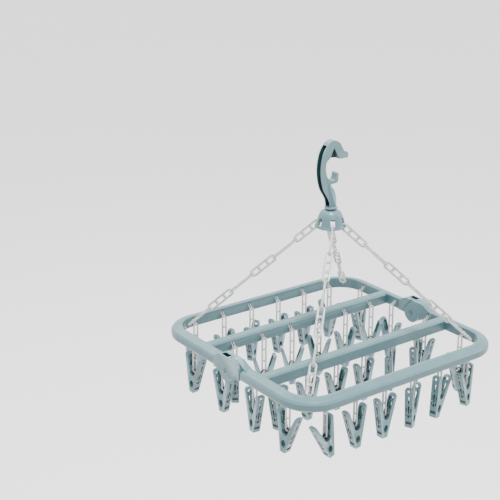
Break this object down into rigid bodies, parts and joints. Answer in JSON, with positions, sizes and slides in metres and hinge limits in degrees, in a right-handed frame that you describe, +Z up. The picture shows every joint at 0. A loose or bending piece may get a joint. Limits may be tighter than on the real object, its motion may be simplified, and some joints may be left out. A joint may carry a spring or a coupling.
{
  "type": "clip drying hanger",
  "caption": "Folding clip drying hanger: swivel hook, dome, four chains and a hinged two-part frame with spring clips hung on short chain links",
  "frame": {"origin": "the seat of the hook, where the underside of its arch rests on a rail", "axes": "+Z up; X along the hinge line and the two cross bars, the hook's mouth opens towards +X; +Y towards the rear half of the frame"},
  "size_m": [0.388, 0.372, 0.4075],
  "materials": {
    "blue_plastic": "moulded, satin",
    "clear_plastic": "moulded, translucent",
    "spring_steel": "drawn wire"
  },
  "bodies": {
    "hook": {"hook": "blue_plastic"},
    "dome": {"dome": "blue_plastic"},
    "hinge_line": {"hinge_pin_left": "blue_plastic", "hinge_pin_right": "blue_plastic"},
    "rear_half": {"frame_rear_half": "blue_plastic"},
    "front_half": {"frame_front_half": "blue_plastic"},
    "chain_rear_left": {"chain_rear_left": "clear_plastic"},
    "chain_rear_right": {"chain_rear_right": "clear_plastic"},
    "chain_front_left": {"chain_front_left": "clear_plastic"},
    "chain_front_right": {"chain_front_right": "clear_plastic"},
    "clip_rear_1": {"clip_rear_1": "blue_plastic"},
    "clip_rear_2": {"clip_rear_2": "blue_plastic"},
    "clip_rear_3": {"clip_rear_3": "blue_plastic"},
    "clip_rear_4": {"clip_rear_4": "blue_plastic"},
    "clip_rear_5": {"clip_rear_5": "blue_plastic"},
    "clip_rear_6": {"clip_rear_6": "blue_plastic"},
    "clip_rear_bar_1": {"clip_rear_bar_1": "blue_plastic"},
    "clip_rear_bar_2": {"clip_rear_bar_2": "blue_plastic"},
    "clip_rear_bar_3": {"clip_rear_bar_3": "blue_plastic"},
    "clip_rear_bar_4": {"clip_rear_bar_4": "blue_plastic"},
    "clip_rear_bar_5": {"clip_rear_bar_5": "blue_plastic"},
    "clip_rear_bar_6": {"clip_rear_bar_6": "blue_plastic"},
    "clip_front_bar_1": {"clip_front_bar_1": "blue_plastic"},
    "clip_front_bar_2": {"clip_front_bar_2": "blue_plastic"},
    "clip_front_bar_3": {"clip_front_bar_3": "blue_plastic"},
    "clip_front_bar_4": {"clip_front_bar_4": "blue_plastic"},
    "clip_front_bar_5": {"clip_front_bar_5": "blue_plastic"},
    "clip_front_bar_6": {"clip_front_bar_6": "blue_plastic"},
    "clip_front_1_drop_chain": {"clip_front_1_drop_chain": "clear_plastic"},
    "clip_front_1": {"clip_front_1_right_jaw": "blue_plastic", "clip_front_1_spring": "spring_steel"},
    "clip_front_1_left_jaw": {"clip_front_1_left_jaw": "blue_plastic"},
    "clip_front_2_drop_chain": {"clip_front_2_drop_chain": "clear_plastic"},
    "clip_front_2": {"clip_front_2_right_jaw": "blue_plastic", "clip_front_2_spring": "spring_steel"},
    "clip_front_2_left_jaw": {"clip_front_2_left_jaw": "blue_plastic"},
    "clip_front_3_drop_chain": {"clip_front_3_drop_chain": "clear_plastic"},
    "clip_front_3": {"clip_front_3_left_jaw": "blue_plastic", "clip_front_3_spring": "spring_steel"},
    "clip_front_3_right_jaw": {"clip_front_3_right_jaw": "blue_plastic"},
    "clip_front_4_drop_chain": {"clip_front_4_drop_chain": "clear_plastic"},
    "clip_front_4": {"clip_front_4_left_jaw": "blue_plastic", "clip_front_4_spring": "spring_steel"},
    "clip_front_4_right_jaw": {"clip_front_4_right_jaw": "blue_plastic"},
    "clip_front_5_drop_chain": {"clip_front_5_drop_chain": "clear_plastic"},
    "clip_front_5": {"clip_front_5_left_jaw": "blue_plastic", "clip_front_5_spring": "spring_steel"},
    "clip_front_5_right_jaw": {"clip_front_5_right_jaw": "blue_plastic"},
    "clip_front_6_drop_chain": {"clip_front_6_drop_chain": "clear_plastic"},
    "clip_front_6": {"clip_front_6_right_jaw": "blue_plastic", "clip_front_6_spring": "spring_steel"},
    "clip_front_6_left_jaw": {"clip_front_6_left_jaw": "blue_plastic"},
    "clip_left_1": {"clip_left_1": "blue_plastic"},
    "clip_left_2": {"clip_left_2": "blue_plastic"},
    "clip_left_3": {"clip_left_3": "blue_plastic"},
    "clip_left_4": {"clip_left_4": "blue_plastic"},
    "clip_right_1": {"clip_right_1": "blue_plastic"},
    "clip_right_2": {"clip_right_2": "blue_plastic"},
    "clip_right_3": {"clip_right_3": "blue_plastic"},
    "clip_right_4": {"clip_right_4": "blue_plastic"}
  },
  "joints": [
    {"name": "hook_swivel", "type": "hinge", "parent": "hook", "child": "dome", "pos_m": [0, 0, -0.0788], "axis": [0, 0, 1], "continuous": true},
    {"name": "hinge_line_lift", "type": "slide", "parent": "dome", "child": "hinge_line", "axis": [0, 0, 1], "range_m": [0, 0.0875]},
    {"name": "fold", "type": "hinge", "parent": "hinge_line", "child": "rear_half", "pos_m": [0, 0, -0.2893], "axis": [-1, 0, 0], "range_deg": [0, 45]},
    {"name": "front_half_fold", "type": "hinge", "parent": "hinge_line", "child": "front_half", "pos_m": [0, 0, -0.2893], "axis": [1, 0, 0], "range_deg": [0, 45]},
    {"name": "chain_rear_left_swing", "type": "hinge", "parent": "dome", "child": "chain_rear_left", "pos_m": [-0.011, 0.0191, -0.1032], "axis": [-1, 0, 0], "range_deg": [0, 11.91]},
    {"name": "chain_rear_right_swing", "type": "hinge", "parent": "dome", "child": "chain_rear_right", "pos_m": [0.011, 0.0191, -0.1032], "axis": [-1, 0, 0], "range_deg": [0, 11.91]},
    {"name": "chain_front_left_swing", "type": "hinge", "parent": "dome", "child": "chain_front_left", "pos_m": [-0.011, -0.0191, -0.1032], "axis": [1, 0, 0], "range_deg": [0, 11.91]},
    {"name": "chain_front_right_swing", "type": "hinge", "parent": "dome", "child": "chain_front_right", "pos_m": [0.011, -0.0191, -0.1032], "axis": [1, 0, 0], "range_deg": [0, 11.91]},
    {"name": "clip_rear_1_hang", "type": "hinge", "parent": "rear_half", "child": "clip_rear_1", "pos_m": [-0.1378, 0.162, -0.297], "axis": [1, 0, 0], "range_deg": [0, 45]},
    {"name": "clip_rear_2_hang", "type": "hinge", "parent": "rear_half", "child": "clip_rear_2", "pos_m": [-0.0826, 0.162, -0.297], "axis": [1, 0, 0], "range_deg": [0, 45]},
    {"name": "clip_rear_3_hang", "type": "hinge", "parent": "rear_half", "child": "clip_rear_3", "pos_m": [-0.0275, 0.162, -0.297], "axis": [1, 0, 0], "range_deg": [0, 45]},
    {"name": "clip_rear_4_hang", "type": "hinge", "parent": "rear_half", "child": "clip_rear_4", "pos_m": [0.0275, 0.162, -0.297], "axis": [1, 0, 0], "range_deg": [0, 45]},
    {"name": "clip_rear_5_hang", "type": "hinge", "parent": "rear_half", "child": "clip_rear_5", "pos_m": [0.0826, 0.162, -0.297], "axis": [1, 0, 0], "range_deg": [0, 45]},
    {"name": "clip_rear_6_hang", "type": "hinge", "parent": "rear_half", "child": "clip_rear_6", "pos_m": [0.1378, 0.162, -0.297], "axis": [1, 0, 0], "range_deg": [0, 45]},
    {"name": "clip_rear_bar_1_hang", "type": "hinge", "parent": "rear_half", "child": "clip_rear_bar_1", "pos_m": [-0.1378, 0.054, -0.297], "axis": [1, 0, 0], "range_deg": [0, 45]},
    {"name": "clip_rear_bar_2_hang", "type": "hinge", "parent": "rear_half", "child": "clip_rear_bar_2", "pos_m": [-0.0826, 0.054, -0.297], "axis": [1, 0, 0], "range_deg": [0, 45]},
    {"name": "clip_rear_bar_3_hang", "type": "hinge", "parent": "rear_half", "child": "clip_rear_bar_3", "pos_m": [-0.0275, 0.054, -0.297], "axis": [1, 0, 0], "range_deg": [0, 45]},
    {"name": "clip_rear_bar_4_hang", "type": "hinge", "parent": "rear_half", "child": "clip_rear_bar_4", "pos_m": [0.0275, 0.054, -0.297], "axis": [1, 0, 0], "range_deg": [0, 45]},
    {"name": "clip_rear_bar_5_hang", "type": "hinge", "parent": "rear_half", "child": "clip_rear_bar_5", "pos_m": [0.0826, 0.054, -0.297], "axis": [1, 0, 0], "range_deg": [0, 45]},
    {"name": "clip_rear_bar_6_hang", "type": "hinge", "parent": "rear_half", "child": "clip_rear_bar_6", "pos_m": [0.1378, 0.054, -0.297], "axis": [1, 0, 0], "range_deg": [0, 45]},
    {"name": "clip_front_bar_1_hang", "type": "hinge", "parent": "front_half", "child": "clip_front_bar_1", "pos_m": [-0.1378, -0.0545, -0.297], "axis": [-1, 0, 0], "range_deg": [0, 45]},
    {"name": "clip_front_bar_2_hang", "type": "hinge", "parent": "front_half", "child": "clip_front_bar_2", "pos_m": [-0.0826, -0.0545, -0.297], "axis": [-1, 0, 0], "range_deg": [0, 45]},
    {"name": "clip_front_bar_3_hang", "type": "hinge", "parent": "front_half", "child": "clip_front_bar_3", "pos_m": [-0.0275, -0.0545, -0.297], "axis": [-1, 0, 0], "range_deg": [0, 45]},
    {"name": "clip_front_bar_4_hang", "type": "hinge", "parent": "front_half", "child": "clip_front_bar_4", "pos_m": [0.0275, -0.0545, -0.297], "axis": [-1, 0, 0], "range_deg": [0, 45]},
    {"name": "clip_front_bar_5_hang", "type": "hinge", "parent": "front_half", "child": "clip_front_bar_5", "pos_m": [0.0826, -0.0545, -0.297], "axis": [-1, 0, 0], "range_deg": [0, 45]},
    {"name": "clip_front_bar_6_hang", "type": "hinge", "parent": "front_half", "child": "clip_front_bar_6", "pos_m": [0.1378, -0.0545, -0.297], "axis": [-1, 0, 0], "range_deg": [0, 45]},
    {"name": "clip_front_1_hang", "type": "hinge", "parent": "front_half", "child": "clip_front_1_drop_chain", "pos_m": [-0.1378, -0.1625, -0.297], "axis": [-1, 0, 0], "range_deg": [0, 45]},
    {"name": "clip_front_1_swing", "type": "hinge", "parent": "clip_front_1_drop_chain", "child": "clip_front_1", "pos_m": [-0.1378, -0.1625, -0.344], "axis": [-0.0872, 0.9962, 0], "range_deg": [-1, 20]},
    {"name": "clip_front_1_squeeze", "type": "hinge", "parent": "clip_front_1", "child": "clip_front_1_left_jaw", "pos_m": [-0.1378, -0.1625, -0.344], "axis": [-0.0872, 0.9962, 0], "range_deg": [0, 16], "stiffness_Nm_per_rad": 0.03, "springref_deg": -28.65},
    {"name": "clip_front_2_hang", "type": "hinge", "parent": "front_half", "child": "clip_front_2_drop_chain", "pos_m": [-0.0826, -0.1625, -0.297], "axis": [-1, 0, 0], "range_deg": [0, 45]},
    {"name": "clip_front_2_swing", "type": "hinge", "parent": "clip_front_2_drop_chain", "child": "clip_front_2", "pos_m": [-0.0826, -0.1625, -0.344], "axis": [-0.0349, 0.9994, 0], "range_deg": [-14, 7]},
    {"name": "clip_front_2_squeeze", "type": "hinge", "parent": "clip_front_2", "child": "clip_front_2_left_jaw", "pos_m": [-0.0826, -0.1625, -0.344], "axis": [-0.0349, 0.9994, 0], "range_deg": [0, 16], "stiffness_Nm_per_rad": 0.03, "springref_deg": -28.65},
    {"name": "clip_front_3_hang", "type": "hinge", "parent": "front_half", "child": "clip_front_3_drop_chain", "pos_m": [-0.0275, -0.1625, -0.297], "axis": [-1, 0, 0], "range_deg": [0, 45]},
    {"name": "clip_front_3_swing", "type": "hinge", "parent": "clip_front_3_drop_chain", "child": "clip_front_3", "pos_m": [-0.0275, -0.1625, -0.344], "axis": [-0.0872, 0.9962, 0], "range_deg": [-6, 15]},
    {"name": "clip_front_3_squeeze", "type": "hinge", "parent": "clip_front_3", "child": "clip_front_3_right_jaw", "pos_m": [-0.0275, -0.1625, -0.344], "axis": [0.0872, -0.9962, 0], "range_deg": [0, 16], "stiffness_Nm_per_rad": 0.03, "springref_deg": -28.65},
    {"name": "clip_front_4_hang", "type": "hinge", "parent": "front_half", "child": "clip_front_4_drop_chain", "pos_m": [0.0275, -0.1625, -0.297], "axis": [-1, 0, 0], "range_deg": [0, 45]},
    {"name": "clip_front_4_swing", "type": "hinge", "parent": "clip_front_4_drop_chain", "child": "clip_front_4", "pos_m": [0.0275, -0.1625, -0.344], "axis": [-0.4384, 0.8988, 0], "range_deg": [-11, 10]},
    {"name": "clip_front_4_squeeze", "type": "hinge", "parent": "clip_front_4", "child": "clip_front_4_right_jaw", "pos_m": [0.0275, -0.1625, -0.344], "axis": [0.4384, -0.8988, 0], "range_deg": [0, 16], "stiffness_Nm_per_rad": 0.03, "springref_deg": -28.65},
    {"name": "clip_front_5_hang", "type": "hinge", "parent": "front_half", "child": "clip_front_5_drop_chain", "pos_m": [0.0826, -0.1625, -0.297], "axis": [-1, 0, 0], "range_deg": [0, 45]},
    {"name": "clip_front_5_swing", "type": "hinge", "parent": "clip_front_5_drop_chain", "child": "clip_front_5", "pos_m": [0.0826, -0.1625, -0.344], "axis": [-0.2419, 0.9703, 0], "range_deg": [-20, 1]},
    {"name": "clip_front_5_squeeze", "type": "hinge", "parent": "clip_front_5", "child": "clip_front_5_right_jaw", "pos_m": [0.0826, -0.1625, -0.344], "axis": [0.2419, -0.9703, 0], "range_deg": [0, 16], "stiffness_Nm_per_rad": 0.03, "springref_deg": -28.65},
    {"name": "clip_front_6_hang", "type": "hinge", "parent": "front_half", "child": "clip_front_6_drop_chain", "pos_m": [0.1378, -0.1625, -0.297], "axis": [-1, 0, 0], "range_deg": [0, 45]},
    {"name": "clip_front_6_swing", "type": "hinge", "parent": "clip_front_6_drop_chain", "child": "clip_front_6", "pos_m": [0.1378, -0.1625, -0.344], "axis": [-0.2924, 0.9563, 0], "range_deg": [-9, 12]},
    {"name": "clip_front_6_squeeze", "type": "hinge", "parent": "clip_front_6", "child": "clip_front_6_left_jaw", "pos_m": [0.1378, -0.1625, -0.344], "axis": [-0.2924, 0.9563, 0], "range_deg": [0, 16], "stiffness_Nm_per_rad": 0.03, "springref_deg": -28.65},
    {"name": "clip_left_1_hang", "type": "hinge", "parent": "rear_half", "child": "clip_left_1", "pos_m": [-0.169, 0.118, -0.297], "axis": [1, 0, 0], "range_deg": [0, 45]},
    {"name": "clip_left_2_hang", "type": "hinge", "parent": "rear_half", "child": "clip_left_2", "pos_m": [-0.169, 0.0393, -0.297], "axis": [1, 0, 0], "range_deg": [0, 45]},
    {"name": "clip_left_3_hang", "type": "hinge", "parent": "front_half", "child": "clip_left_3", "pos_m": [-0.169, -0.0393, -0.297], "axis": [-1, 0, 0], "range_deg": [0, 45]},
    {"name": "clip_left_4_hang", "type": "hinge", "parent": "front_half", "child": "clip_left_4", "pos_m": [-0.169, -0.118, -0.297], "axis": [-1, 0, 0], "range_deg": [0, 45]},
    {"name": "clip_right_1_hang", "type": "hinge", "parent": "rear_half", "child": "clip_right_1", "pos_m": [0.169, 0.118, -0.297], "axis": [1, 0, 0], "range_deg": [0, 45]},
    {"name": "clip_right_2_hang", "type": "hinge", "parent": "rear_half", "child": "clip_right_2", "pos_m": [0.169, 0.0393, -0.297], "axis": [1, 0, 0], "range_deg": [0, 45]},
    {"name": "clip_right_3_hang", "type": "hinge", "parent": "front_half", "child": "clip_right_3", "pos_m": [0.169, -0.0393, -0.297], "axis": [-1, 0, 0], "range_deg": [0, 45]},
    {"name": "clip_right_4_hang", "type": "hinge", "parent": "front_half", "child": "clip_right_4", "pos_m": [0.169, -0.118, -0.297], "axis": [-1, 0, 0], "range_deg": [0, 45]}
  ],
  "couplings": [
    {"joint": "hinge_line_lift", "follows": "fold", "m_per_rad": 0.11077},
    {"joint": "front_half_fold", "follows": "fold", "ratio": 1},
    {"joint": "chain_rear_left_swing", "follows": "fold", "ratio": 0.26015},
    {"joint": "chain_rear_right_swing", "follows": "fold", "ratio": 0.26015},
    {"joint": "chain_front_left_swing", "follows": "fold", "ratio": 0.26015},
    {"joint": "chain_front_right_swing", "follows": "fold", "ratio": 0.26015},
    {"joint": "clip_rear_1_hang", "follows": "fold", "ratio": 1},
    {"joint": "clip_rear_2_hang", "follows": "fold", "ratio": 1},
    {"joint": "clip_rear_3_hang", "follows": "fold", "ratio": 1},
    {"joint": "clip_rear_4_hang", "follows": "fold", "ratio": 1},
    {"joint": "clip_rear_5_hang", "follows": "fold", "ratio": 1},
    {"joint": "clip_rear_6_hang", "follows": "fold", "ratio": 1},
    {"joint": "clip_rear_bar_1_hang", "follows": "fold", "ratio": 1},
    {"joint": "clip_rear_bar_2_hang", "follows": "fold", "ratio": 1},
    {"joint": "clip_rear_bar_3_hang", "follows": "fold", "ratio": 1},
    {"joint": "clip_rear_bar_4_hang", "follows": "fold", "ratio": 1},
    {"joint": "clip_rear_bar_5_hang", "follows": "fold", "ratio": 1},
    {"joint": "clip_rear_bar_6_hang", "follows": "fold", "ratio": 1},
    {"joint": "clip_front_bar_1_hang", "follows": "fold", "ratio": 1},
    {"joint": "clip_front_bar_2_hang", "follows": "fold", "ratio": 1},
    {"joint": "clip_front_bar_3_hang", "follows": "fold", "ratio": 1},
    {"joint": "clip_front_bar_4_hang", "follows": "fold", "ratio": 1},
    {"joint": "clip_front_bar_5_hang", "follows": "fold", "ratio": 1},
    {"joint": "clip_front_bar_6_hang", "follows": "fold", "ratio": 1},
    {"joint": "clip_front_1_hang", "follows": "fold", "ratio": 1},
    {"joint": "clip_front_2_hang", "follows": "fold", "ratio": 1},
    {"joint": "clip_front_3_hang", "follows": "fold", "ratio": 1},
    {"joint": "clip_front_4_hang", "follows": "fold", "ratio": 1},
    {"joint": "clip_front_5_hang", "follows": "fold", "ratio": 1},
    {"joint": "clip_front_6_hang", "follows": "fold", "ratio": 1},
    {"joint": "clip_left_1_hang", "follows": "fold", "ratio": 1},
    {"joint": "clip_left_2_hang", "follows": "fold", "ratio": 1},
    {"joint": "clip_left_3_hang", "follows": "fold", "ratio": 1},
    {"joint": "clip_left_4_hang", "follows": "fold", "ratio": 1},
    {"joint": "clip_right_1_hang", "follows": "fold", "ratio": 1},
    {"joint": "clip_right_2_hang", "follows": "fold", "ratio": 1},
    {"joint": "clip_right_3_hang", "follows": "fold", "ratio": 1},
    {"joint": "clip_right_4_hang", "follows": "fold", "ratio": 1}
  ]
}
